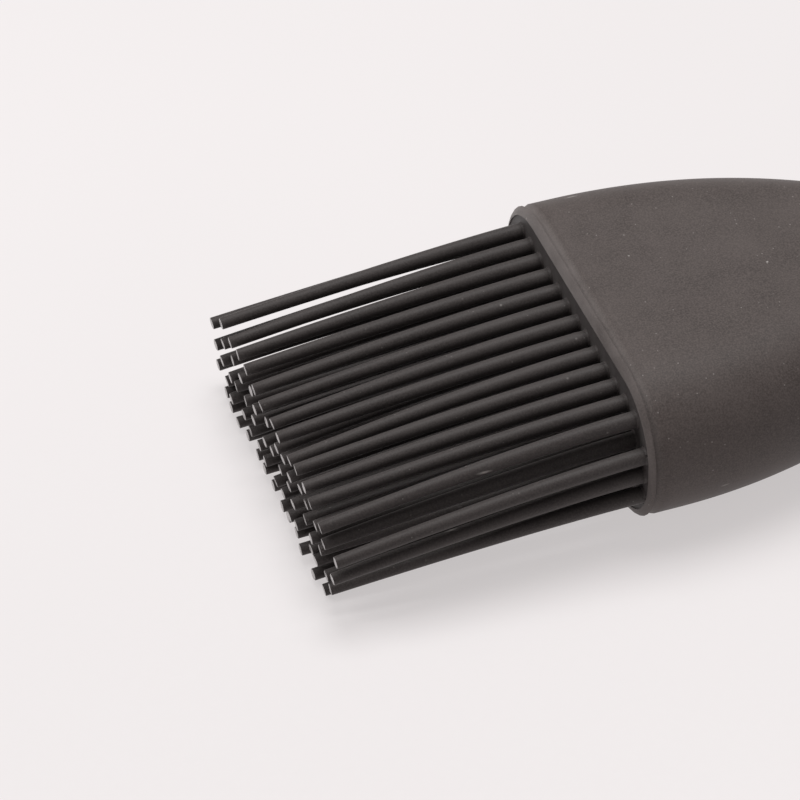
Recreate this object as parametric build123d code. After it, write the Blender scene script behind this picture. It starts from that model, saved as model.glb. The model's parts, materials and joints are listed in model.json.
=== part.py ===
from build123d import *
import math
import os

# Bee brush with a soft silicone head. Millimetres, +Z up.
# It lies flat on its broad face: bristle tips at -X, handle tail at +X, width along Y.
# Origin: centre of the whole brush in X and Y, on the surface that it lies on.

# Driving dimensions
TOTAL_LENGTH = 210.0
BRISTLE_REACH = 35.1        # how far the bristles stand out of the mouth
BRISTLE_SAG = 3.0           # drop of the tips under their own weight
BRISTLE_DIAMETER = 1.5
COLUMN_PITCH = 2.8
ROW_PITCH = 2.8
ROW_COUNTS = (13, 15, 15, 15, 13)   # bristles in each row, top row first

HEAD_WIDTH = 43.4
HEAD_THICKNESS = 18.8
HEAD_LENGTH = 51.0
MOUTH_STRAIGHT = 4.4        # length behind the mouth with parallel sides
SHOULDER_RADIUS = 62.0      # plan radius of the head's shoulders
SHOULDER_ANGLE = 30.0       # degrees, steepest slope of the shoulders
NECK_WIDTH = 20.0
NECK_THICKNESS = 14.0
THICKNESS_TAPER_START = 16.0
MOUTH_EDGE_RADIUS = 0.5
MOUTH_CORNER_RATIO = 0.48   # section corner radius as a share of the thickness, at the mouth
CORNER_RATIO = 7.0 / 18.0   # the same, at the neck and along the handle

RIM_WALL = 1.4              # wall above and below the pad
RIM_SIDE_WALL = 1.0
PAD_CORNER = 6.6
PAD_RECESS = 0.4            # the pad's face lies this far inside the mouth
PAD_DEPTH = 8.0
SOCKET_CLEARANCE = 0.05     # between a bristle's ball root and its dimple

CORE_PLATE = (34.0, 10.0, 3.0)      # width, height and thickness
CORE_TUBE = (17.0, 10.4)
TANG_SIZE = (12.8, 6.4)
TANG_LENGTH = 34.0
TANG_CLEARANCE = 0.06
TANG_END_GAP = 1.0
TANG_CORNER = 2.4

COLLAR_LENGTH = 5.0
COLLAR_SIZE = (21.2, 15.2)
COLLAR_BEVEL = 0.8
SPINE_SIZE = (16.0, 9.0)
SPINE_CORNER = 3.6

GRIP_START_SIZE = (20.0, 14.0)
GRIP_BELLY_SIZE = (27.0, 18.5)
GRIP_END_SIZE = (21.0, 14.0)
GRIP_BELLY_SHARE = 0.52     # where the belly lies along the grip
GRIP_STATIONS = 18

TAIL_LENGTH = 26.0
TAIL_TIP_THICKNESS = 9.0
TAIL_SPINE_DEPTH = 7.0
TAIL_EDGE = 1.2             # how much the end's edges draw in, top and bottom
TAIL_EDGE_START = 40.0      # degrees round the end's arc where that starts
TAIL_LAST_TURN = 84.0
TAIL_TURN_STEP = 7.0
TAIL_END_CORNER = 0.45      # largest corner radius as a share of the width
EYELET_BORE_RADIUS = 3.7
EYELET_TUBE_RADIUS = 4.6
EYELET_FLANGE_RADIUS = 6.2
EYELET_FLANGE_THICKNESS = 0.6
EYELET_SEAT_HALF = 3.9      # half the thickness that the eyelet clamps
EYELET_SEAT_GAP = 0.3       # between the flange and the wall of its seat

# Derived places along the brush
AXIS_Z = HEAD_THICKNESS / 2
X_TIPS = -TOTAL_LENGTH / 2
X_MOUTH = X_TIPS + BRISTLE_REACH
X_FACE = X_MOUTH + PAD_RECESS
X_NECK = X_MOUTH + HEAD_LENGTH
X_GRIP = X_NECK + COLLAR_LENGTH
X_TAIL = TOTAL_LENGTH / 2 - TAIL_LENGTH
X_TAIL_ARC = TOTAL_LENGTH / 2 - GRIP_END_SIZE[0] / 2 * math.sin(math.radians(TAIL_LAST_TURN))


def cross_plane(x):
    """Plane across the brush at x, with its own x along Y and its own y along Z."""
    return Plane(origin=(x, 0, AXIS_Z), x_dir=(0, 1, 0), z_dir=(1, 0, 0))


def section(x, width, height, corner=None):
    """Rounded rectangle across the brush at x."""
    radius = corner if corner else height * CORNER_RATIO
    return cross_plane(x) * RectangleRounded(width, height, radius)


def prism(x_start, x_end, width, height, corner=None):
    """Rounded bar along the brush between two places."""
    return extrude(section(x_start, width, height, corner), x_end - x_start, dir=(1, 0, 0))


def ease(share):
    """Smooth step from 0 to 1."""
    held = min(max(share, 0.0), 1.0)
    return held * held * (3 - 2 * held)


def head_half_width(depth):
    """Plan outline of the head at a depth behind its mouth: two tangent arcs."""
    steep = math.radians(SHOULDER_ANGLE)
    run = depth - MOUTH_STRAIGHT
    first_run = SHOULDER_RADIUS * math.sin(steep)
    first_drop = SHOULDER_RADIUS * (1 - math.cos(steep))
    second_drop = (HEAD_WIDTH - NECK_WIDTH) / 2 - first_drop
    second_radius = second_drop / (1 - math.cos(steep))
    second_run = second_radius * math.sin(steep)
    if run <= 0:
        return HEAD_WIDTH / 2
    if run <= first_run:
        return HEAD_WIDTH / 2 - SHOULDER_RADIUS + math.sqrt(SHOULDER_RADIUS**2 - run**2)
    left = first_run + second_run - run
    if left <= 0:
        return NECK_WIDTH / 2
    return NECK_WIDTH / 2 + second_radius - math.sqrt(second_radius**2 - left**2)


def taper(depth):
    """How far the head's section has changed from the mouth's (0) to the neck's (1)."""
    return ease((depth - THICKNESS_TAPER_START) / (HEAD_LENGTH - THICKNESS_TAPER_START))


def head_thickness(depth):
    """Side outline of the head at a depth behind its mouth."""
    return HEAD_THICKNESS - (HEAD_THICKNESS - NECK_THICKNESS) * taper(depth)


def head_corner_ratio(depth):
    """Section corner radius of the head as a share of its thickness: nearly full round at the mouth."""
    return MOUTH_CORNER_RATIO + (CORNER_RATIO - MOUTH_CORNER_RATIO) * taper(depth)


def mouth_inset(depth):
    """How far the rounded edge of the mouth draws the outline in."""
    if depth >= MOUTH_EDGE_RADIUS:
        return 0.0
    rise = MOUTH_EDGE_RADIUS - depth
    return MOUTH_EDGE_RADIUS - math.sqrt(MOUTH_EDGE_RADIUS**2 - rise**2)


def head_block():
    """Outer form of the silicone head, solid."""
    edge_steps = [MOUTH_EDGE_RADIUS * (1 - math.cos(math.radians(a))) for a in (0, 30, 60, 90)]
    body_steps = [MOUTH_STRAIGHT] + [7.5 + 2.9 * i for i in range(15)] + [HEAD_LENGTH]
    stations = []
    for depth in edge_steps + body_steps:
        inset = 2 * mouth_inset(depth)
        width = 2 * head_half_width(depth) - inset
        height = head_thickness(depth) - inset
        stations.append(section(X_MOUTH + depth, width, height, height * head_corner_ratio(depth)))
    return loft(stations, ruled=True)


def recess_prism(x_start, x_end):
    """Bar with the outline of the mouth's recess."""
    width = HEAD_WIDTH - 2 * RIM_SIDE_WALL
    height = HEAD_THICKNESS - 2 * RIM_WALL
    return prism(x_start, x_end, width, height, PAD_CORNER)


def pad_block():
    """The part of the recess that the bristle pad fills."""
    return recess_prism(X_FACE, X_FACE + PAD_DEPTH)


def core_envelope():
    """Outer form of the stiffener inside the head: a plate with a tube behind it."""
    width, height, thickness = CORE_PLATE
    x_plate = X_FACE + PAD_DEPTH
    plate = prism(x_plate, x_plate + thickness, width, height)
    tube = prism(x_plate + thickness, X_NECK, *CORE_TUBE)
    return plate + tube


def make_head_sleeve():
    """Soft head: the thick grey shell round the pad and the stiffener."""
    mouth = recess_prism(X_MOUTH - PAD_RECESS, X_FACE)
    return head_block() - mouth - pad_block() - core_envelope()


def make_head_core():
    """Rigid stiffener with the blind socket that takes the handle's tang."""
    socket = prism(
        X_NECK - TANG_LENGTH - TANG_END_GAP,
        X_NECK,
        TANG_SIZE[0] + 2 * TANG_CLEARANCE,
        TANG_SIZE[1] + 2 * TANG_CLEARANCE,
        TANG_CORNER + TANG_CLEARANCE,
    )
    return core_envelope() - socket


def row_height(row):
    """Height of a bristle row above the surface that the brush lies on."""
    middle = (len(ROW_COUNTS) - 1) / 2
    return AXIS_Z + (middle - row) * ROW_PITCH


def row_roots(row):
    """Root centres of one row of bristles, on the pad's face."""
    count = ROW_COUNTS[row]
    places = [(i - (count - 1) / 2) * COLUMN_PITCH for i in range(count)]
    return [Pos(X_FACE, y, row_height(row)) for y in places]


def make_bristle_pad():
    """Silicone pad in the mouth, with a dimple for each bristle's ball root."""
    dimple = Sphere(BRISTLE_DIAMETER / 2 + SOCKET_CLEARANCE)
    pad = pad_block()
    for row in range(len(ROW_COUNTS)):
        pad = pad - [root * dimple for root in row_roots(row)]
    return pad


def make_bristle():
    """One bristle from a root at the origin towards -X, drooping in a circular arc."""
    reach = BRISTLE_REACH + PAD_RECESS
    radius = BRISTLE_DIAMETER / 2
    bend_radius = (reach**2 + BRISTLE_SAG**2) / (2 * BRISTLE_SAG)
    turn = math.degrees(math.asin(reach / (bend_radius + radius)))
    root_section = Plane(origin=(0, 0, 0), x_dir=(0, 1, 0), z_dir=(1, 0, 0)) * Circle(radius)
    bend_axis = Axis((0, 0, -bend_radius), (0, -1, 0))
    shaft = revolve(root_section, bend_axis, turn)
    ball = Rot(0, 90, 0) * Sphere(radius, arc_size1=0, align=None)
    return shaft + ball


def make_bristle_row(row, bristle):
    """All bristles of one row, each a solid of its own."""
    return Compound(children=[root * bristle for root in row_roots(row)])


def make_collar():
    """Hard ring between the soft head and the grip."""
    ring = prism(X_NECK, X_GRIP, *COLLAR_SIZE)
    outer_edges = ring.faces().sort_by(Axis.X)[0].edges() + ring.faces().sort_by(Axis.X)[-1].edges()
    ring = chamfer(outer_edges, COLLAR_BEVEL)
    return ring - prism(X_NECK, X_GRIP, *SPINE_SIZE, SPINE_CORNER)


def make_handle_core():
    """Rigid spine of the handle, with the tang that the head pushes onto."""
    spine = prism(X_NECK, X_TAIL + TAIL_SPINE_DEPTH, *SPINE_SIZE, SPINE_CORNER)
    tang = prism(X_NECK - TANG_LENGTH, X_NECK, *TANG_SIZE, TANG_CORNER)
    return spine + tang


def grip_size(share):
    """Width and thickness of the grip at a share of its length."""
    if share < GRIP_BELLY_SHARE:
        mix = ease(share / GRIP_BELLY_SHARE)
        start, end = GRIP_START_SIZE, GRIP_BELLY_SIZE
    else:
        mix = ease((share - GRIP_BELLY_SHARE) / (1 - GRIP_BELLY_SHARE))
        start, end = GRIP_BELLY_SIZE, GRIP_END_SIZE
    return [a + (b - a) * mix for a, b in zip(start, end)]


def make_grip_sleeve():
    """Soft grip moulded over the spine."""
    shares = sorted([i / GRIP_STATIONS for i in range(GRIP_STATIONS + 1)] + [GRIP_BELLY_SHARE])
    length = X_TAIL - X_GRIP
    outer = loft([section(X_GRIP + s * length, *grip_size(s)) for s in shares], ruled=True)
    return outer - prism(X_GRIP, X_TAIL, *SPINE_SIZE, SPINE_CORNER)


def seat_cylinder(radius, z_start, z_end):
    """Upright cylinder on the hang hole's axis."""
    middle = Pos(X_TAIL_ARC, 0, (z_start + z_end) / 2)
    return middle * Cylinder(radius, z_end - z_start)


def tail_section(turn):
    """Section of the tail cap, at a turn round the semicircle that ends its plan."""
    arc_radius = GRIP_END_SIZE[0] / 2
    x = X_TAIL_ARC + arc_radius * math.sin(math.radians(turn))
    width = 2 * arc_radius * math.cos(math.radians(turn))
    share = (x - X_TAIL) / TAIL_LENGTH
    height = GRIP_END_SIZE[1] + (TAIL_TIP_THICKNESS - GRIP_END_SIZE[1]) * share
    height -= 2 * TAIL_EDGE * ease((turn - TAIL_EDGE_START) / (TAIL_LAST_TURN - TAIL_EDGE_START))
    return section(x, width, height, min(height * CORNER_RATIO, width * TAIL_END_CORNER))


def make_tail_cap():
    """Hard end cap with the hang hole."""
    turns = [TAIL_TURN_STEP * i for i in range(int(TAIL_LAST_TURN / TAIL_TURN_STEP) + 1)]
    stations = [section(X_TAIL, *GRIP_END_SIZE)] + [tail_section(turn) for turn in turns]
    cap = loft(stations, ruled=True)
    cap = cap - prism(X_TAIL, X_TAIL + TAIL_SPINE_DEPTH, *SPINE_SIZE, SPINE_CORNER)
    cap = cap - seat_cylinder(EYELET_TUBE_RADIUS, 0, HEAD_THICKNESS)
    seat_radius = EYELET_FLANGE_RADIUS + EYELET_SEAT_GAP
    cap = cap - seat_cylinder(seat_radius, AXIS_Z + EYELET_SEAT_HALF, HEAD_THICKNESS)
    return cap - seat_cylinder(seat_radius, 0, AXIS_Z - EYELET_SEAT_HALF)


def make_hang_eyelet():
    """Steel liner of the hang hole: a tube with a rolled flange at each end."""
    half = EYELET_SEAT_HALF + EYELET_FLANGE_THICKNESS
    eyelet = seat_cylinder(EYELET_TUBE_RADIUS, AXIS_Z - half, AXIS_Z + half)
    for low, high in ((-half, -EYELET_SEAT_HALF), (EYELET_SEAT_HALF, half)):
        eyelet = eyelet + seat_cylinder(EYELET_FLANGE_RADIUS, AXIS_Z + low, AXIS_Z + high)
    return eyelet - seat_cylinder(EYELET_BORE_RADIUS, 0, HEAD_THICKNESS)


def write_part(name, shape):
    """One STEP file per piece."""
    shape.label = name
    export_step(shape, os.path.join("parts", name + ".step"))


def main():
    os.makedirs("parts", exist_ok=True)
    write_part("head_sleeve", make_head_sleeve())
    write_part("head_core", make_head_core())
    write_part("bristle_pad", make_bristle_pad())
    bristle = make_bristle()
    for row in range(len(ROW_COUNTS)):
        write_part(f"bristle_row_{row + 1}", make_bristle_row(row, bristle))
    write_part("collar", make_collar())
    write_part("handle_core", make_handle_core())
    write_part("grip_sleeve", make_grip_sleeve())
    write_part("tail_cap", make_tail_cap())
    write_part("hang_eyelet", make_hang_eyelet())


main()
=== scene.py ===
"""The looks of a bee brush with a soft silicone head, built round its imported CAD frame. Metres, +Z up.

Bristle tips point to -X, the tail to +X, and the width lies along Y. Every place is worked out from the
frame's own boxes. The soft head, the pad, the bristles, the grip, the collar, the tail cap and the eyelet
get finished meshes. The tang and the stiffener keep their CAD meshes and get a material.
"""

import json
import math
import random

import bpy
import numpy as np
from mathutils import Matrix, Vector
from mathutils.geometry import delaunay_2d_cdt


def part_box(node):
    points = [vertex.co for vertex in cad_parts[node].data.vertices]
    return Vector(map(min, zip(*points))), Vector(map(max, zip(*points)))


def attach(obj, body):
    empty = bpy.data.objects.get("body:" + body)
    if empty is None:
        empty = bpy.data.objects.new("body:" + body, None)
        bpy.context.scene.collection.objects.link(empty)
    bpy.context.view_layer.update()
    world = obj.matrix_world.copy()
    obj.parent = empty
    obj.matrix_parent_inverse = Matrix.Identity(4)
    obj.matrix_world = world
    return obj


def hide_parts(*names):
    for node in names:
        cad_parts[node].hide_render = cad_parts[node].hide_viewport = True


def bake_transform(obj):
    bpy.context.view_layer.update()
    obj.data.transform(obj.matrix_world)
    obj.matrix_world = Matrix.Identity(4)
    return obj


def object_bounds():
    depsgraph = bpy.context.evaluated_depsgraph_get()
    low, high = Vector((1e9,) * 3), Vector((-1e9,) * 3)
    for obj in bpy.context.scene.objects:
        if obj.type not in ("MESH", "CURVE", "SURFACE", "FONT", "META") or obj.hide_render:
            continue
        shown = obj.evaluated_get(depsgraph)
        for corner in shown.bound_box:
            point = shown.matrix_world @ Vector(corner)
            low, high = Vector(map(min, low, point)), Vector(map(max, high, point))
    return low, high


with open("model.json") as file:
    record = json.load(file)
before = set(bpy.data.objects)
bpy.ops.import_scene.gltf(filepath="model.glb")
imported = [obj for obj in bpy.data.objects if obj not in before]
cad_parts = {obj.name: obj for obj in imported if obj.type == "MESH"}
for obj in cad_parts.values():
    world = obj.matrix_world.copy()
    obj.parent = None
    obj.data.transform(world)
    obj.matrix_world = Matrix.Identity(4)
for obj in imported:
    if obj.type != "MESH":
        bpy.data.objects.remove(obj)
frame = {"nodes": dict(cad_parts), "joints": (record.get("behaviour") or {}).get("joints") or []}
cad_low, cad_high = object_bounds()

MM = 0.001
SEED = 20
SHARP_ANGLE = 40.0              # degrees between faces above which an edge is shaded sharp
ROUND_SHARP_ANGLE = 50.0        # the same for the bristles and the tail, which have fewer sides

# Places taken from the frame
HEAD_LOW, HEAD_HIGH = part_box("head_sleeve")
PAD_LOW, PAD_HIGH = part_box("bristle_pad")
COLLAR_LOW, COLLAR_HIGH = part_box("collar")
GRIP_LOW, GRIP_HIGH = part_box("grip_sleeve")
TAIL_LOW, TAIL_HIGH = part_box("tail_cap")
EYELET_LOW, EYELET_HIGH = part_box("hang_eyelet")
AXIS_Z = (HEAD_LOW.z + HEAD_HIGH.z) / 2
X_MOUTH = HEAD_LOW.x
X_FACE = PAD_LOW.x
X_NECK = HEAD_HIGH.x
PAD_SIZE = (PAD_HIGH.y - PAD_LOW.y, PAD_HIGH.z - PAD_LOW.z)

# Head
CORNER_RATIO = 7.0 / 18.0       # a section's corner radius as a share of its thickness
MOUTH_CORNER_RATIO = 0.48
MOUTH_EDGE = 0.55 * MM          # depth of the rounded lip
MOUTH_LIP = (0.85 * MM, 1.25 * MM, 1.42 * MM)   # how much the lip draws in the width, height and corner
LIP_TURNS = (math.radians(22.0), math.radians(68.0))    # the part of a quarter arc that the lip is
LIP_STEPS = 8
LIP_EDGE = 0.10 * MM            # radius of the edge where the mouth drops to the pad
LIP_EDGE_STEPS = 4
MOUTH_STRAIGHT = 4.4 * MM
SHOULDER_RADIUS = 62.0 * MM
SHOULDER_ANGLE = math.radians(30.0)
TAPER_START = 16.0 * MM
NECK_SIZE = (20.0 * MM, 14.0 * MM)
NECK_EDGE = 0.8 * MM
NECK_EDGE_STEPS = 6
HEAD_STEPS = 44
CORE_TUBE = (17.0 * MM, 10.4 * MM)
CORE_PLATE = (34.0 * MM, 10.0 * MM)
CORE_PLATE_THICKNESS = 3.0 * MM

# How worn the head's edges are, and how strong the painted highlight on its lip, from 0 to 1
LIP_PAINTED_LIGHT = (0.4, 1.0)           # painted highlight at the lip's outer and inner crease
NECK_WEAR = 0.4
PAINTED_LIGHT_RANGE = (0.35, 1.20)       # least and most that the place round the mouth multiplies it by: painted light, brighter toward the lit +Y end and top
PAINTED_LIGHT_ACROSS = 0.4               # how strongly that place counts across the brush, and upward, in the painted light
PAINTED_LIGHT_UPWARD = 0.2

# Pad
PAD_CORNER = 7.1 * MM
PAD_RISE = 0.28 * MM
PAD_BORDER = 0.3 * MM           # width of the strip of mesh along its rim
FILLET = 0.25 * MM
FILLET_RINGS = (0.75, 1.0, 1.12, 1.3)           # radii of the mesh's rings about a root, in root radii
FILLET_SIDES = 14
INSIDE_EDGES_ONLY = 1           # the triangulation's way of leaving out what lies outside the rim
MERGE_DISTANCE = 1e-7

# Bristles. Rows count from the top down, and a table's entries are one for each row.
ROWS = 5
COLUMN_PITCH = 2.8 * MM
ROOT_GATHER = 0.987             # share of the pitch that the roots keep, so that the outermost clear the lip
TIP_GATHER = 0.998              # share of the roots' spacing that the tips keep
ROOT_RADIUS = 0.94 * MM
ROOT_DEPTH = 0.6 * MM
ROOT_DROP = 0.3 * MM
TIP_RADIUS = 0.67 * MM
TIP_BEVEL = 0.05 * MM
CUT_TILT = 0.05
BRISTLE_SIDES = 16
BRISTLE_RINGS = 22
LENGTH_SPREAD = 0.3 * MM
LEAN_SPREAD = 0.42 * MM         # sideways, at the tip
LIFT_SPREAD = 0.26 * MM         # upward, at the tip
LEAN_POWER = 1.7                # how late along a bristle its lean, lift and sag set in
LIFT_POWER = 1.8
SAG_POWER = 1.4
ROW_SAGS = (3.75 * MM, 3.2 * MM, 3.15 * MM, 3.2 * MM, 2.35 * MM)
ROW_SHIFTS = (0.0, -0.06 * MM, 0.08 * MM, -0.06 * MM, 0.08 * MM)
ROW_ASIDE = (                   # how far a row's tips lie sideways and upward of their roots
    (0.0, 0.0),
    (-0.55 * MM, -0.15 * MM),
    (0.32 * MM, 0.06 * MM),
    (-0.45 * MM, -0.10 * MM),
    (0.32 * MM, 0.10 * MM),
)
NEAR_ASIDE = {                  # the same for the first bristle of a row, where it differs
    2: (-0.4 * MM, -0.1 * MM),
    3: (0.5 * MM, 0.15 * MM),
    4: (0.5 * MM, 0.15 * MM),
}
FAR_COLUMNS = 2                 # how many bristles at the end of a row keep closer to its line
FAR_SPREAD = 0.35               # share of the spread that those have
FAR_LEAN = 0.6 * MM             # lean of the last bristle of the far rows
FAR_LEAN_ROWS = 2

# Handle
SPINE_SIZE = (16.0 * MM, 9.0 * MM)
SPINE_CORNER = 3.6 * MM
GRIP_START_SIZE = (20.0 * MM, 14.0 * MM)
GRIP_END_SIZE = (21.0 * MM, 14.0 * MM)
GRIP_BELLY_SHARE = 0.52
GRIP_EDGE = 0.7 * MM
GRIP_STEPS = 64
COLLAR_EDGE = 0.8 * MM
COLLAR_STEPS = 6
TUBE_EDGE_STEPS = 5
TAIL_TIP_THICKNESS = 9.0 * MM
TAIL_SIDES = 120
TAIL_EDGE_STEPS = 6
EYELET_BORE = 3.7 * MM
EYELET_TUBE = 4.6 * MM
EYELET_SEAT = 6.5 * MM
EYELET_SEAT_HALF = 3.9 * MM
EYELET_ROLL = 1.5               # radius of the flange's inner edge, in flange thicknesses
EYELET_SIDES = 72
EYELET_EDGE_STEPS = 6

# Steps along a section's corners, wide sides and narrow sides
CORNER_STEPS = 10
WIDE_STEPS = 18
TALL_STEPS = 5

# Colours that several materials share
# Paler silicone for worn edges and for the painted highlight on the head's lip
WORN_AND_LIT_SILICONE = (0.30, 0.27, 0.26)
DUST = (0.62, 0.58, 0.55)

# Lights, from the middle of the mouth: name, place, size and power
SOFTBOXES = (
    ("key", (0.12, 0.26, 0.97), 0.6, 8.6),
    ("side", (-0.70, 0.40, 0.80), 0.5, 3.6),
)
WORLD_COLOUR = (0.98, 0.95, 0.95)
WORLD_STRENGTH = 0.30
FLOOR_HALF = 3.0
FLOOR_GAP = 0.05 * MM

# Camera
CAMERA_AZIMUTH = math.radians(-19.95)
CAMERA_ELEVATION = math.radians(42.05)
CAMERA_DISTANCE = 445.7 * MM
CAMERA_LENS = 185.4
AIM_AHEAD_OF_FACE = 20.69 * MM
AIM_SIDE = 0.29 * MM


# ---------------------------------------------------------------- mesh building

def make_mesh_object(name, points, faces, sharp_angle=SHARP_ANGLE):
    """A mesh object with smooth shading, except across sharp edges."""
    mesh = bpy.data.meshes.new(name)
    mesh.from_pydata([tuple(p) for p in points], [], faces)
    mesh.validate()
    mesh.polygons.foreach_set("use_smooth", [True] * len(mesh.polygons))
    mesh.set_sharp_from_angle(angle=math.radians(sharp_angle))
    obj = bpy.data.objects.new(name, mesh)
    bpy.context.scene.collection.objects.link(obj)
    return obj


def outline(half_width, half_height, corner):
    """Rounded rectangle as (y, z) points about the brush's axis, always with the same number of points."""
    corner = min(corner, half_width * 0.999, half_height * 0.999)
    flat_y = half_width - corner
    flat_z = half_height - corner
    centres = ((flat_y, flat_z), (-flat_y, flat_z), (-flat_y, -flat_z), (flat_y, -flat_z))
    points = []
    for quarter, (cy, cz) in enumerate(centres):
        for step in range(CORNER_STEPS + 1):
            turn = math.radians(90.0 * (quarter + step / CORNER_STEPS))
            points.append((cy + corner * math.cos(turn), cz + corner * math.sin(turn)))
        ny, nz = centres[(quarter + 1) % 4]
        along = WIDE_STEPS if quarter % 2 == 0 else TALL_STEPS
        end_turn = math.radians(90.0 * (quarter + 1))
        for step in range(1, along):
            share = step / along
            py = cy + (ny - cy) * share + corner * math.cos(end_turn)
            pz = cz + (nz - cz) * share + corner * math.sin(end_turn)
            points.append((py, pz))
    return points


def section(x, width, height, corner=None):
    """Rounded rectangle across the brush at x."""
    radius = corner if corner else height * CORNER_RATIO
    return [(x, y, AXIS_Z + z) for y, z in outline(width / 2, height / 2, radius)]


def loft_ring(name, sections, sharp_angle=SHARP_ANGLE):
    """A closed tube whose walls pass through the sections in turn and end where they started."""
    count = len(sections[0])
    points = [p for one in sections for p in one]
    faces = []
    for i in range(len(sections)):
        here = i * count
        after = (i + 1) % len(sections) * count
        for k in range(count):
            nxt = (k + 1) % count
            faces.append((here + k, here + nxt, after + nxt, after + k))
    return make_mesh_object(name, points, faces, sharp_angle)


def ease(share):
    """Smooth step from 0 to 1."""
    held = min(max(share, 0.0), 1.0)
    return held * held * (3 - 2 * held)


def set_point_values(obj, name, values):
    """A named value at each point of a mesh, which a material can read."""
    attribute = obj.data.attributes.new(name, "FLOAT", "POINT")
    attribute.data.foreach_set("value", np.array(values, np.float32))


# ---------------------------------------------------------------- head

def head_half_width(depth):
    """Plan outline of the head at a depth behind its mouth: two tangent arcs."""
    full = (HEAD_HIGH.y - HEAD_LOW.y) / 2
    neck = NECK_SIZE[0] / 2
    run = depth - MOUTH_STRAIGHT
    first_run = SHOULDER_RADIUS * math.sin(SHOULDER_ANGLE)
    first_drop = SHOULDER_RADIUS * (1 - math.cos(SHOULDER_ANGLE))
    second_radius = (full - neck - first_drop) / (1 - math.cos(SHOULDER_ANGLE))
    second_run = second_radius * math.sin(SHOULDER_ANGLE)
    if run <= 0:
        return full
    if run <= first_run:
        return full - SHOULDER_RADIUS + math.sqrt(SHOULDER_RADIUS**2 - run**2)
    left = first_run + second_run - run
    if left <= 0:
        return neck
    return neck + second_radius - math.sqrt(second_radius**2 - left**2)


def taper(depth):
    """How far the head's section has changed from the mouth's (0) to the neck's (1)."""
    return ease((depth - TAPER_START) / (X_NECK - X_MOUTH - TAPER_START))


def head_thickness(depth):
    """Side outline of the head at a depth behind its mouth."""
    full = HEAD_HIGH.z - HEAD_LOW.z
    return full - (full - NECK_SIZE[1]) * taper(depth)


def head_corner(depth):
    """Section corner radius of the head at a depth: nearly full round at the mouth, squarer at the neck."""
    ratio = MOUTH_CORNER_RATIO + (CORNER_RATIO - MOUTH_CORNER_RATIO) * taper(depth)
    return head_thickness(depth) * ratio


def head_section(depth, insets):
    """Section of the head at a depth behind its mouth, drawn in by insets at its sides, top and corners."""
    width = 2 * (head_half_width(depth) - insets[0])
    height = head_thickness(depth) - 2 * insets[1]
    return section(X_MOUTH + depth, width, height, head_corner(depth) - insets[2])


def edge_arc(radius, steps):
    """Depth behind the end face and inset along a rounded edge, from its start to the end face."""
    pairs = []
    for i in range(steps + 1):
        turn = math.radians(90.0 * i / steps)
        pairs.append((radius * (1 - math.sin(turn)), radius * (1 - math.cos(turn))))
    return pairs


def lip_arc():
    """Depth and share of the full inset along the lip: part of an arc, with a crease at each end."""
    first, last = LIP_TURNS
    pairs = []
    for i in range(LIP_STEPS + 1):
        turn = first + (last - first) * i / LIP_STEPS
        depth = MOUTH_EDGE * (math.sin(last) - math.sin(turn)) / (math.sin(last) - math.sin(first))
        share = (math.cos(first) - math.cos(turn)) / (math.cos(first) - math.cos(last))
        pairs.append((depth, share))
    return pairs


def build_head():
    """The thick soft head: its skin, its mouth with a recessed lip, and the hollow for the stiffener."""
    sections = []
    wear_and_painted_light = []
    length = X_NECK - X_MOUTH
    for depth, share in lip_arc():
        sections.append(head_section(depth, [share * full for full in MOUTH_LIP]))
        wear_and_painted_light.append(LIP_PAINTED_LIGHT[0] + (LIP_PAINTED_LIGHT[1] - LIP_PAINTED_LIGHT[0]) * share)
    for i in range(1, HEAD_STEPS):
        depth = MOUTH_EDGE + (length - NECK_EDGE - MOUTH_EDGE) * i / HEAD_STEPS
        sections.append(head_section(depth, (0.0, 0.0, 0.0)))
        wear_and_painted_light.append(0.0)
    for depth, inset in edge_arc(NECK_EDGE, NECK_EDGE_STEPS):
        sections.append(head_section(length - depth, (inset, inset, inset)))
        wear_and_painted_light.append(NECK_WEAR)
    for one in hollow_sections():
        sections.append(one)
        wear_and_painted_light.append(0.0)
    width, height = PAD_SIZE
    for depth, inset in edge_arc(LIP_EDGE, LIP_EDGE_STEPS):
        sections.append(section(X_MOUTH + depth, width + 2 * inset, height + 2 * inset, PAD_CORNER + inset))
        wear_and_painted_light.append(LIP_PAINTED_LIGHT[1])
    head = loft_ring("head_skin", sections)
    # Painted highlight on the lip's strip and inner edge, stronger toward the lit +Y end and top; the neck's
    # edge is worn
    values = []
    for ring, amount in zip(sections, wear_and_painted_light):
        values += [amount * painted_light_share(y, z) for _, y, z in ring]
    set_point_values(head, "wear_and_painted_light", values)
    return head


def hollow_sections():
    """Sections of the head's hollow, from the neck forward: the stiffener's tube, its plate and the pad."""
    x_plate = PAD_HIGH.x
    x_tube = x_plate + CORE_PLATE_THICKNESS
    tube_corner = CORE_TUBE[1] * CORNER_RATIO
    plate_corner = CORE_PLATE[1] * CORNER_RATIO
    return [
        section(X_NECK, *CORE_TUBE, tube_corner),
        section(x_tube, *CORE_TUBE, tube_corner),
        section(x_tube, *CORE_PLATE, plate_corner),
        section(x_plate, *CORE_PLATE, plate_corner),
        section(x_plate, *PAD_SIZE, PAD_CORNER),
        section(X_FACE, *PAD_SIZE, PAD_CORNER),
    ]


def painted_light_share(y, z):
    """Painted light that multiplies the paler edges round the mouth: most at its +Y end and top, where the
    light falls, least at its -Y end and below.
    """
    across = y / HEAD_HIGH.y
    upward = (z - AXIS_Z) / (HEAD_HIGH.z - AXIS_Z)
    least, most = PAINTED_LIGHT_RANGE
    return least + (most - least) * ease(0.5 + PAINTED_LIGHT_ACROSS * across + PAINTED_LIGHT_UPWARD * upward)


# ---------------------------------------------------------------- pad and bristles

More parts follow.
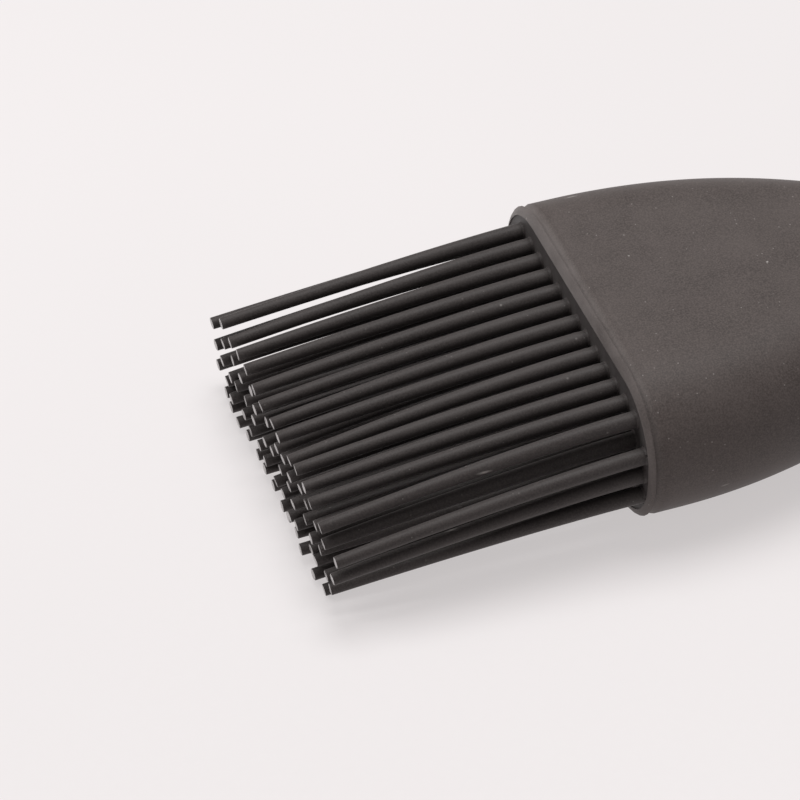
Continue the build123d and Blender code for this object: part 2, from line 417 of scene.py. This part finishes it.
def row_box(row):
    """Lowest and highest corner of a row of CAD bristles."""
    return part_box(f"bristle_row_{row + 1}")


def hinge_height(row):
    """Height of the hinge that a row bends about."""
    joint = next(j for j in frame["joints"] if j["child"] == f"bristles_{row + 1}")
    return joint["pos_m"][2]


def row_columns(row):
    """Where the roots of a row lie across the brush."""
    low, high = row_box(row)
    span = high.y - low.y - 2 * (high.x - X_FACE)
    count = round(span / COLUMN_PITCH) + 1
    return [(i - (count - 1) / 2) * COLUMN_PITCH * ROOT_GATHER for i in range(count)]


def row_roots(row):
    """Places of a row's roots on the pad's face, as (y, z)."""
    z = hinge_height(row) - ROOT_DROP
    return [(y + ROW_SHIFTS[row], z) for y in row_columns(row)]


def pad_points():
    """Mesh points on the pad's face, as flat places and how far each stands out. The rim comes first."""
    width, height = PAD_SIZE
    rim = outline(width / 2, height / 2, PAD_CORNER)
    inner = outline(width / 2 - PAD_BORDER, height / 2 - PAD_BORDER, PAD_CORNER - PAD_BORDER)
    places = [Vector(point) for point in rim + inner]
    rises = [0.0] * len(places)
    for row in range(ROWS):
        for y, z in row_roots(row):
            root = Vector((y, z - AXIS_Z))
            places.append(root)
            rises.append(fillet_rise(0.0))
            for scale in FILLET_RINGS:
                radius = scale * ROOT_RADIUS
                for i in range(FILLET_SIDES):
                    turn = 2 * math.pi * i / FILLET_SIDES
                    places.append(root + Vector((math.cos(turn), math.sin(turn))) * radius)
                    rises.append(fillet_rise(radius))
    return rim, places, rises


def build_pad():
    """The pad in the mouth: its face rises in a small fillet round each bristle's root."""
    rim, places, rises = pad_points()
    edges = [(i, (i + 1) % len(rim)) for i in range(len(rim))]
    verts, _, faces, origins, _, _ = delaunay_2d_cdt(
        places, edges, [], INSIDE_EDGES_ONLY, MERGE_DISTANCE
    )
    used = sorted({i for face in faces for i in face})
    renumbered = {old: new for new, old in enumerate(used)}
    points = []
    for i in used:
        rise = rises[origins[i][0]] if origins[i] else 0.0
        points.append((X_FACE - PAD_RISE - rise, verts[i].x, AXIS_Z + verts[i].y))
    front = [next(renumbered[i] for i in used if k in origins[i]) for k in range(len(rim))]
    back = []
    for y, z in rim:
        back.append(len(points))
        points.append((PAD_HIGH.x, y, AXIS_Z + z))
    pad_faces = [tuple(renumbered[i] for i in reversed(face)) for face in faces]
    for k in range(len(rim)):
        nxt = (k + 1) % len(rim)
        pad_faces.append((front[k], front[nxt], back[nxt], back[k]))
    pad_faces.append(tuple(back))
    return make_mesh_object("pad_face", points, pad_faces)


def fillet_rise(distance):
    """How far the pad's face stands out at a distance from a bristle's axis."""
    gap = distance - ROOT_RADIUS
    if gap >= FILLET:
        return 0.0
    reach = FILLET - max(gap, 0.0)
    return FILLET - math.sqrt(max(FILLET**2 - reach**2, 0.0))


def bristle_line(root, reach, sag, lean, lift, aside):
    """Points of a bristle's centre from inside the pad to its tip."""
    root_y, root_z = root
    line = [Vector((X_FACE + ROOT_DEPTH, root_y, root_z))]
    for i in range(BRISTLE_RINGS + 1):
        share = i / BRISTLE_RINGS
        y = root_y * (1 - (1 - TIP_GATHER) * share**2) + lean * share**LEAN_POWER + aside[0] * share
        z = root_z - sag * share**SAG_POWER + lift * share**LIFT_POWER + aside[1] * share
        line.append(Vector((X_FACE - reach * share, y, z)))
    return line


def cross_axes(along):
    """Two directions square to a bristle: sideways and upward."""
    side = (Vector((0, 1, 0)) - along * along.y).normalized()
    return side, along.cross(side)


def add_ring(points, centre, along, radius):
    """Points of a circle about a centre, square to a direction."""
    side, up = cross_axes(along)
    for k in range(BRISTLE_SIDES):
        turn = 2 * math.pi * k / BRISTLE_SIDES
        points.append(centre + side * (radius * math.cos(turn)) + up * (radius * math.sin(turn)))


def add_bristle(line, cut, points, faces, cut_faces):
    """Adds one bristle along a line: slightly tapered, with a flat cut end."""
    first = len(points)
    rings = len(line)
    for i, centre in enumerate(line):
        along = (line[min(i + 1, rings - 1)] - line[max(i - 1, 0)]).normalized()
        radius = ROOT_RADIUS + (TIP_RADIUS - ROOT_RADIUS) * max(i - 1, 0) / (rings - 2)
        add_ring(points, centre, along, radius)
    along = (line[-1] - line[-2]).normalized()
    tilted = (along + Vector((0, *cut))).normalized()
    add_ring(points, line[-1] + along * TIP_BEVEL, tilted, TIP_RADIUS - TIP_BEVEL)
    n = BRISTLE_SIDES
    for i in range(rings):
        here = first + i * n
        for k in range(n):
            nxt = (k + 1) % n
            faces.append((here + k, here + nxt, here + n + nxt, here + n + k))
    faces.append(tuple(first + k for k in reversed(range(n))))
    cut_faces.append(len(faces))
    faces.append(tuple(first + rings * n + k for k in range(n)))


def build_row(row, draw):
    """One row of bristles, each of its own length, lean and cut, and the indices of its cut ends."""
    low, _ = row_box(row)
    reach = X_FACE - low.x
    points, faces, cut_faces = [], [], []
    roots = row_roots(row)
    last = len(roots) - 1
    for index, root in enumerate(roots):
        spread = FAR_SPREAD if index > last - FAR_COLUMNS else 1.0
        length = reach + draw.uniform(-1, 1) * LENGTH_SPREAD
        lean = draw.gauss(0, LEAN_SPREAD) * spread
        lift = draw.gauss(0, LIFT_SPREAD) * spread
        cut = (draw.uniform(-CUT_TILT, CUT_TILT), draw.uniform(-CUT_TILT, CUT_TILT))
        if row < FAR_LEAN_ROWS and index == last:
            lean = FAR_LEAN
        stagger = ease((last - index) / FAR_COLUMNS)
        aside = [shift * stagger for shift in ROW_ASIDE[row]]
        if index == 0 and row in NEAR_ASIDE:
            aside = NEAR_ASIDE[row]
        line = bristle_line(root, length, ROW_SAGS[row], lean, lift, aside)
        add_bristle(line, cut, points, faces, cut_faces)
    obj = make_mesh_object(f"bristles_{row + 1}", points, faces, ROUND_SHARP_ANGLE)
    return obj, cut_faces


# ---------------------------------------------------------------- handle

def grip_size(share):
    """Width and thickness of the grip at a share of its length."""
    belly = (GRIP_HIGH.y - GRIP_LOW.y, GRIP_HIGH.z - GRIP_LOW.z)
    if share < GRIP_BELLY_SHARE:
        mix = ease(share / GRIP_BELLY_SHARE)
        start, end = GRIP_START_SIZE, belly
    else:
        mix = ease((share - GRIP_BELLY_SHARE) / (1 - GRIP_BELLY_SHARE))
        start, end = belly, GRIP_END_SIZE
    return [a + (b - a) * mix for a, b in zip(start, end)]


def tube_sections(x_start, x_end, size_at, edge, steps):
    """Sections of a sleeve with rounded ends and a straight hole for the spine."""
    sections = []
    length = x_end - x_start
    for depth, inset in reversed(edge_arc(edge, TUBE_EDGE_STEPS)):
        width, height = size_at(depth / length)
        sections.append(section(x_start + depth, width - 2 * inset, height - 2 * inset))
    for i in range(1, steps):
        depth = edge + (length - 2 * edge) * i / steps
        sections.append(section(x_start + depth, *size_at(depth / length)))
    for depth, inset in edge_arc(edge, TUBE_EDGE_STEPS):
        width, height = size_at(1 - depth / length)
        sections.append(section(x_end - depth, width - 2 * inset, height - 2 * inset))
    sections.append(section(x_end, *SPINE_SIZE, SPINE_CORNER))
    sections.append(section(x_start, *SPINE_SIZE, SPINE_CORNER))
    return sections


def build_grip():
    """The soft grip, swelling to its belly."""
    return loft_ring(
        "grip_skin", tube_sections(GRIP_LOW.x, GRIP_HIGH.x, grip_size, GRIP_EDGE, GRIP_STEPS)
    )


def build_collar():
    """The hard ring between head and grip."""
    size = (COLLAR_HIGH.y - COLLAR_LOW.y, COLLAR_HIGH.z - COLLAR_LOW.z)
    sections = tube_sections(COLLAR_LOW.x, COLLAR_HIGH.x, lambda share: size, COLLAR_EDGE, COLLAR_STEPS)
    return loft_ring("collar_ring", sections)


def tail_height(x):
    """Thickness of the tail cap at x."""
    share = (x - TAIL_LOW.x) / (TAIL_HIGH.x - TAIL_LOW.x)
    return GRIP_END_SIZE[1] + (TAIL_TIP_THICKNESS - GRIP_END_SIZE[1]) * share


def tail_outline(turn, centre_x, inset):
    """A point of the tail's plan, seen from the hang hole at a turn from +X."""
    half = GRIP_END_SIZE[0] / 2 - inset
    cos, sin = math.cos(turn), math.sin(turn)
    if cos >= 0:
        return centre_x + half * cos, half * sin
    to_side = half / max(abs(sin), 1e-9)
    to_back = (centre_x - TAIL_LOW.x) / -cos
    reach = min(to_side, to_back)
    return centre_x + reach * cos, reach * sin


def circle(centre_x, radius, z, turns):
    """Points about the hang hole at one radius and height."""
    return [(centre_x + radius * math.cos(turn), radius * math.sin(turn), z) for turn in turns]


def tail_edge(centre_x, turns, side, steepness):
    """One line round the tail's rounded edge, from level with its face (90 degrees) to upright (0)."""
    line = []
    for turn in turns:
        rim_x, _ = tail_outline(turn, centre_x, 0.0)
        corner = tail_height(rim_x) * CORNER_RATIO
        x, y = tail_outline(turn, centre_x, corner * (1 - math.cos(steepness)))
        z = tail_height(x) / 2 - corner + corner * math.sin(steepness)
        line.append((x, y, side * z))
    return line


def build_tail():
    """The hard end cap, a rounded paddle about the hang hole."""
    centre_x = (EYELET_LOW.x + EYELET_HIGH.x) / 2
    corner_turn = math.atan2(GRIP_END_SIZE[0] / 2, TAIL_LOW.x - centre_x)
    even_turns = [2 * math.pi * i / TAIL_SIDES for i in range(TAIL_SIDES)]
    turns = sorted(even_turns + [corner_turn, 2 * math.pi - corner_turn])
    rings = []
    for side in (1, -1):
        seat_z = side * EYELET_SEAT_HALF
        levels = [circle(centre_x, EYELET_TUBE, seat_z, turns), circle(centre_x, EYELET_SEAT, seat_z, turns)]
        wall = circle(centre_x, EYELET_SEAT, seat_z, turns)
        levels.append([(x, y, side * tail_height(x) / 2) for x, y, _ in wall])
        for i in range(TAIL_EDGE_STEPS + 1):
            steepness = math.radians(90.0 * (1 - i / TAIL_EDGE_STEPS))
            levels.append(tail_edge(centre_x, turns, side, steepness))
        rings += levels if side == 1 else levels[::-1]
    sections = [[(x, y, AXIS_Z + z) for x, y, z in ring] for ring in reversed(rings)]
    return loft_ring("tail_shell", sections, ROUND_SHARP_ANGLE)


def build_eyelet():
    """The steel liner of the hang hole, with a rolled flange at each end."""
    centre_x = (EYELET_LOW.x + EYELET_HIGH.x) / 2
    flange = (EYELET_HIGH.y - EYELET_LOW.y) / 2
    half = (EYELET_HIGH.z - EYELET_LOW.z) / 2
    rim = half - EYELET_SEAT_HALF
    roll = rim * EYELET_ROLL
    steps = [math.radians(90.0 * i / EYELET_EDGE_STEPS) for i in range(EYELET_EDGE_STEPS + 1)]
    profile = [(EYELET_BORE, 0.0)]
    for turn in steps:
        profile.append((EYELET_BORE + roll * (1 - math.cos(turn)), half - roll * (1 - math.sin(turn))))
    for turn in reversed(steps):
        profile.append((flange - rim * (1 - math.cos(turn)), half - rim * (1 - math.sin(turn))))
    profile += [(EYELET_TUBE, EYELET_SEAT_HALF), (EYELET_TUBE, 0.0)]
    mirrored = [(radius, -z) for radius, z in reversed(profile[1:-1])]
    turns = [2 * math.pi * k / EYELET_SIDES for k in range(EYELET_SIDES)]
    sections = [circle(centre_x, radius, AXIS_Z + z, turns) for radius, z in reversed(profile + mirrored)]
    return loft_ring("eyelet_ring", sections)


# ---------------------------------------------------------------- materials

class Nodes:
    """Short names for building a material's nodes."""

    def __init__(self, name):
        self.material = bpy.data.materials.new(name)
        self.material.use_nodes = True
        self.tree = self.material.node_tree
        self.shader = self.tree.nodes["Principled BSDF"]
        place = self.tree.nodes.new("ShaderNodeTexCoord")
        self.place = place.outputs["Object"]

    def link(self, source, target):
        self.tree.links.new(source, target)

    def noise(self, scale, detail=3.0, roughness=0.55, stretch=None):
        """Fractal noise of about 1/scale metres a feature, from 0 to 1."""
        node = self.tree.nodes.new("ShaderNodeTexNoise")
        node.inputs["Scale"].default_value = scale
        node.inputs["Detail"].default_value = detail
        node.inputs["Roughness"].default_value = roughness
        if stretch:
            mapping = self.tree.nodes.new("ShaderNodeMapping")
            mapping.inputs["Scale"].default_value = stretch
            self.link(self.place, mapping.inputs["Vector"])
            self.link(mapping.outputs["Vector"], node.inputs["Vector"])
        else:
            self.link(self.place, node.inputs["Vector"])
        return node.outputs["Fac"]

    def spots(self, scale, size, stretch=None):
        """Small scattered dots: 1 at a dot's middle, 0 away from it."""
        node = self.tree.nodes.new("ShaderNodeTexVoronoi")
        node.inputs["Scale"].default_value = scale
        mapping = self.tree.nodes.new("ShaderNodeMapping")
        mapping.inputs["Scale"].default_value = stretch or (1, 1, 1)
        self.link(self.place, mapping.inputs["Vector"])
        self.link(mapping.outputs["Vector"], node.inputs["Vector"])
        return self.remap(node.outputs["Distance"], 0.0, size, 1.0, 0.0)

    def remap(self, value, from_low, from_high, to_low, to_high):
        """The value moved from one range to another, and held inside it."""
        node = self.tree.nodes.new("ShaderNodeMapRange")
        node.inputs["From Min"].default_value = from_low
        node.inputs["From Max"].default_value = from_high
        node.inputs["To Min"].default_value = to_low
        node.inputs["To Max"].default_value = to_high
        self.link(value, node.inputs["Value"])
        return node.outputs["Result"]

    def math(self, kind, a, b):
        """One arithmetic step on two values, each a number or a socket."""
        node = self.tree.nodes.new("ShaderNodeMath")
        node.operation = kind
        for socket, value in zip(node.inputs, (a, b)):
            if isinstance(value, (int, float)):
                socket.default_value = value
            else:
                self.link(value, socket)
        return node.outputs["Value"]

    def attribute(self, name):
        """A named value of the mesh's points."""
        node = self.tree.nodes.new("ShaderNodeAttribute")
        node.attribute_name = name
        return node.outputs["Fac"]

    def mix(self, factor, low, high):
        """Mix of two colours, each a tuple or a socket. The node's sockets 6, 7 and 2 are its colour ones."""
        node = self.tree.nodes.new("ShaderNodeMix")
        node.data_type = "RGBA"
        self.link(factor, node.inputs[0])
        for socket, value in ((node.inputs[6], low), (node.inputs[7], high)):
            if isinstance(value, tuple):
                socket.default_value = (*value, 1.0)
            else:
                self.link(value, socket)
        return node.outputs[2]

    def bump(self, height, distance, strength=1.0, below=None):
        """Relief of a height, on top of the relief below it if there is one."""
        node = self.tree.nodes.new("ShaderNodeBump")
        node.inputs["Distance"].default_value = distance
        node.inputs["Strength"].default_value = strength
        self.link(height, node.inputs["Height"])
        if below:
            self.link(below, node.inputs["Normal"])
        return node.outputs["Normal"]

    def finish(self, colour, roughness, normal, **plain):
        """The material, with its shader's plain inputs set by name."""
        self.link(colour, self.shader.inputs["Base Color"])
        self.link(roughness, self.shader.inputs["Roughness"])
        self.link(normal, self.shader.inputs["Normal"])
        for name, value in plain.items():
            self.shader.inputs[name.replace("_", " ")].default_value = value
        return self.material


def silicone(name, dark, light, rough, dust, wear_and_painted_light=0.0):
    """Matte silicone: mottled and finely grained, a little dusty, and paler where its edges are worn and
    where a highlight is painted on the head's lip.
    """
    n = Nodes(name)
    mottle = n.noise(260.0, 4.0)
    blotch = n.noise(70.0, 2.0)
    grain = n.noise(5200.0, 2.0)
    tone = n.math("ADD", n.math("MULTIPLY", mottle, 0.5), n.math("MULTIPLY", blotch, 0.5))
    colour = n.mix(n.remap(tone, 0.35, 0.65, 0.0, 1.0), dark, light)
    colour = n.mix(n.remap(grain, 0.35, 0.7, 0.0, 0.7), colour, tuple(1.6 * c for c in light))
    # Paler colour on the head's edges: worn at the neck, a painted highlight on the lip
    if wear_and_painted_light:
        edge = n.math("MULTIPLY", n.attribute("wear_and_painted_light"), n.remap(mottle, 0.3, 0.7, 0.5 * wear_and_painted_light, wear_and_painted_light))
        colour = n.mix(edge, colour, WORN_AND_LIT_SILICONE)
    fine_patches = n.remap(n.noise(150.0, 0.0), 0.4, 0.5, 0.0, 0.35 * dust)
    fine = n.math("MULTIPLY", n.spots(900.0, 0.1), fine_patches)
    speck_patches = n.remap(n.noise(120.0, 0.0), 0.46, 0.54, 0.0, 0.6 * dust)
    specks = n.math("MULTIPLY", n.spots(330.0, 0.06), speck_patches)
    fibre_patches = n.remap(n.noise(60.0, 0.0), 0.5, 0.55, 0.0, dust)
    fibres = n.math("MULTIPLY", n.spots(240.0, 0.05, (0.2, 1.0, 1.0)), fibre_patches)
    lint = n.math("MAXIMUM", n.math("MAXIMUM", fine, specks), fibres)
    colour = n.mix(lint, colour, DUST)
    roughness = n.remap(n.math("ADD", mottle, grain), 0.6, 1.4, rough - 0.06, rough + 0.08)
    normal = n.bump(grain, 0.02 * MM, 0.5)
    normal = n.bump(mottle, 0.05 * MM, 0.4, normal)
    return n.finish(
        colour, roughness, normal, Specular_IOR_Level=0.24, Sheen_Weight=0.12, Sheen_Roughness=0.45
    )


def painted_highlight_cut_end(name):
    """The cut end of a bristle: smoother than its side, and pale with a painted highlight for the light its
    glancing face catches.
    """
    n = Nodes(name)
    streak = n.noise(2600.0, 2.0, 0.5, (1.0, 1.0, 0.15))
    # Painted highlight: a pale grey far lighter than the black bristle; the low roughness adds real gloss on
    # top
    colour = n.mix(n.remap(streak, 0.3, 0.7, 0.0, 1.0), (0.34, 0.32, 0.315), (0.46, 0.44, 0.435))
    roughness = n.remap(streak, 0.3, 0.7, 0.2, 0.34)
    return n.finish(colour, roughness, n.bump(streak, 0.01 * MM, 0.5), Specular_IOR_Level=0.6)


def nylon(name, dark, light):
    """Moulded nylon: a soft sheen over fine spark-eroded texture, with flow marks."""
    n = Nodes(name)
    flow = n.noise(90.0, 3.0, 0.6, (0.3, 1.0, 1.0))
    grain = n.noise(3800.0, 2.0)
    colour = n.mix(n.remap(flow, 0.35, 0.65, 0.0, 1.0), dark, light)
    roughness = n.remap(n.math("ADD", flow, grain), 0.6, 1.4, 0.36, 0.5)
    return n.finish(colour, roughness, n.bump(grain, 0.02 * MM, 0.6), Specular_IOR_Level=0.5)


def gloss_plastic(name, dark, light):
    """Polished hard plastic with fine scratches."""
    n = Nodes(name)
    cloud = n.noise(150.0, 3.0)
    scratches = n.noise(900.0, 2.0, 0.5, (0.12, 1.0, 1.0))
    colour = n.mix(n.remap(cloud, 0.35, 0.65, 0.0, 1.0), dark, light)
    roughness = n.remap(n.math("ADD", cloud, scratches), 0.6, 1.4, 0.2, 0.34)
    return n.finish(colour, roughness, n.bump(scratches, 0.006 * MM, 0.5), Specular_IOR_Level=0.5)


def steel(name):
    """Turned stainless steel with fine rings and worn patches."""
    n = Nodes(name)
    rings = n.noise(1400.0, 2.0, 0.5, (0.4, 0.4, 3.0))
    smear = n.noise(300.0, 3.0)
    colour = n.mix(n.remap(smear, 0.35, 0.65, 0.0, 1.0), (0.46, 0.45, 0.44), (0.60, 0.59, 0.57))
    roughness = n.remap(n.math("ADD", rings, smear), 0.6, 1.4, 0.18, 0.36)
    return n.finish(colour, roughness, n.bump(rings, 0.008 * MM, 0.5), Metallic=1.0)


def paper_floor(name):
    """The pale surface under the brush."""
    n = Nodes(name)
    tooth = n.noise(900.0, 3.0)
    cloud = n.noise(6.0, 2.0)
    colour = n.mix(n.remap(cloud, 0.3, 0.7, 0.0, 1.0), (0.275, 0.264, 0.264), (0.300, 0.288, 0.288))
    roughness = n.remap(tooth, 0.3, 0.7, 0.5, 0.62)
    n.shader.inputs["Emission Color"].default_value = (1.0, 0.955, 0.955, 1.0)
    return n.finish(
        colour, roughness, n.bump(tooth, 0.01 * MM, 0.2), Specular_IOR_Level=0.2, Emission_Strength=0.53
    )


# ---------------------------------------------------------------- assembly

def dress(obj, material, body, slot, *nodes):
    """Gives a finished piece its material and its body, and hides the CAD nodes it stands for. The slot is
    not used.
    """
    obj.data.materials.append(material)
    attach(obj, body)
    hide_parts(*nodes)


def build_object():
    """Every finished piece on its body, and the materials of the CAD pieces that stay."""
    head_silicone = silicone(
        "head_silicone", (0.042, 0.033, 0.030), (0.070, 0.057, 0.053), rough=0.60, dust=1.0, wear_and_painted_light=0.62
    )
    black_silicone = silicone(
        "bristle_silicone", (0.030, 0.0250, 0.0240), (0.043, 0.0365, 0.035), rough=0.58, dust=0.5
    )
    pad_silicone = silicone(
        "pad_silicone", (0.036, 0.030, 0.029), (0.052, 0.044, 0.042), rough=0.50, dust=0.3
    )
    grip_rubber = silicone(
        "grip_rubber", (0.055, 0.046, 0.044), (0.080, 0.067, 0.064), rough=0.52, dust=0.5
    )
    tip_cut = painted_highlight_cut_end("bristle_cut_painted_highlight")
    spine_nylon = nylon("spine_nylon", (0.030, 0.029, 0.030), (0.045, 0.043, 0.044))
    core_nylon = nylon("core_nylon", (0.10, 0.095, 0.09), (0.14, 0.13, 0.125))
    hard_plastic = gloss_plastic("hard_plastic", (0.016, 0.015, 0.015), (0.026, 0.024, 0.024))

    dress(build_head(), head_silicone, "head", "head_silicone", "head_sleeve")
    dress(build_pad(), pad_silicone, "head", "pad_silicone", "bristle_pad")
    dress(build_collar(), hard_plastic, "handle", "collar_plastic", "collar")
    dress(build_grip(), grip_rubber, "handle", "grip_rubber", "grip_sleeve")
    dress(build_tail(), hard_plastic, "handle", "collar_plastic", "tail_cap")
    dress(build_eyelet(), steel("eyelet_steel"), "handle", "eyelet_steel", "hang_eyelet")

    draw = random.Random(SEED)
    for row in range(ROWS):
        obj, cut_faces = build_row(row, draw)
        obj.data.materials.append(black_silicone)
        # The cut ends get the pale material with the painted highlight
        obj.data.materials.append(tip_cut)
        for index in cut_faces:
            obj.data.polygons[index].material_index = 1
        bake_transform(obj)
        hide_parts(f"bristle_row_{row + 1}")

    for node, material in (("handle_core", spine_nylon), ("head_core", core_nylon)):
        mesh = frame["nodes"][node].data
        mesh.materials.clear()
        mesh.materials.append(material)


def build_studio():
    """Pale floor, soft light from above and behind, and the camera."""
    floor_mesh = bpy.data.meshes.new("floor")
    z = cad_low.z - FLOOR_GAP
    corners = [(x * FLOOR_HALF, y * FLOOR_HALF, z) for x, y in ((-1, -1), (1, -1), (1, 1), (-1, 1))]
    floor_mesh.from_pydata(corners, [], [(0, 1, 2, 3)])
    floor = bpy.data.objects.new("floor", floor_mesh)
    floor.data.materials.append(paper_floor("floor_paper"))
    bpy.context.scene.collection.objects.link(floor)

    world = bpy.data.worlds.new("studio")
    world.use_nodes = True
    backdrop = world.node_tree.nodes["Background"]
    backdrop.inputs["Color"].default_value = (*WORLD_COLOUR, 1.0)
    backdrop.inputs["Strength"].default_value = WORLD_STRENGTH
    bpy.context.scene.world = world

    subject = Vector((X_FACE, 0, AXIS_Z))
    for name, place, size, power in SOFTBOXES:
        add_softbox(name, subject + Vector(place), subject, size, power)
    bpy.context.scene.view_settings.view_transform = "Standard"
    add_camera()


def add_softbox(name, place, target, size, power):
    """A square soft light that faces a target."""
    light = bpy.data.lights.new(name, "AREA")
    light.shape = "SQUARE"
    light.size = size
    light.energy = power
    lamp = bpy.data.objects.new(name, light)
    lamp.location = place
    lamp.rotation_euler = (target - place).to_track_quat("-Z", "Y").to_euler()
    lamp.visible_camera = False
    bpy.context.scene.collection.objects.link(lamp)


def add_camera():
    """The camera looks down at the bristles and the mouth from in front of the near side."""
    aim = Vector((X_FACE - AIM_AHEAD_OF_FACE, AIM_SIDE, AXIS_Z))
    level = math.cos(CAMERA_ELEVATION)
    back = Vector((
        math.sin(CAMERA_AZIMUTH) * level,
        -math.cos(CAMERA_AZIMUTH) * level,
        math.sin(CAMERA_ELEVATION),
    ))
    lens = bpy.data.cameras.new("camera")
    lens.lens = CAMERA_LENS
    lens.clip_start = 0.01
    lens.clip_end = 20.0
    camera = bpy.data.objects.new("camera", lens)
    camera.location = aim + back * CAMERA_DISTANCE
    camera.rotation_euler = (-back).to_track_quat("-Z", "Y").to_euler()
    bpy.context.scene.collection.objects.link(camera)
    bpy.context.scene.camera = camera


build_object()
build_studio()
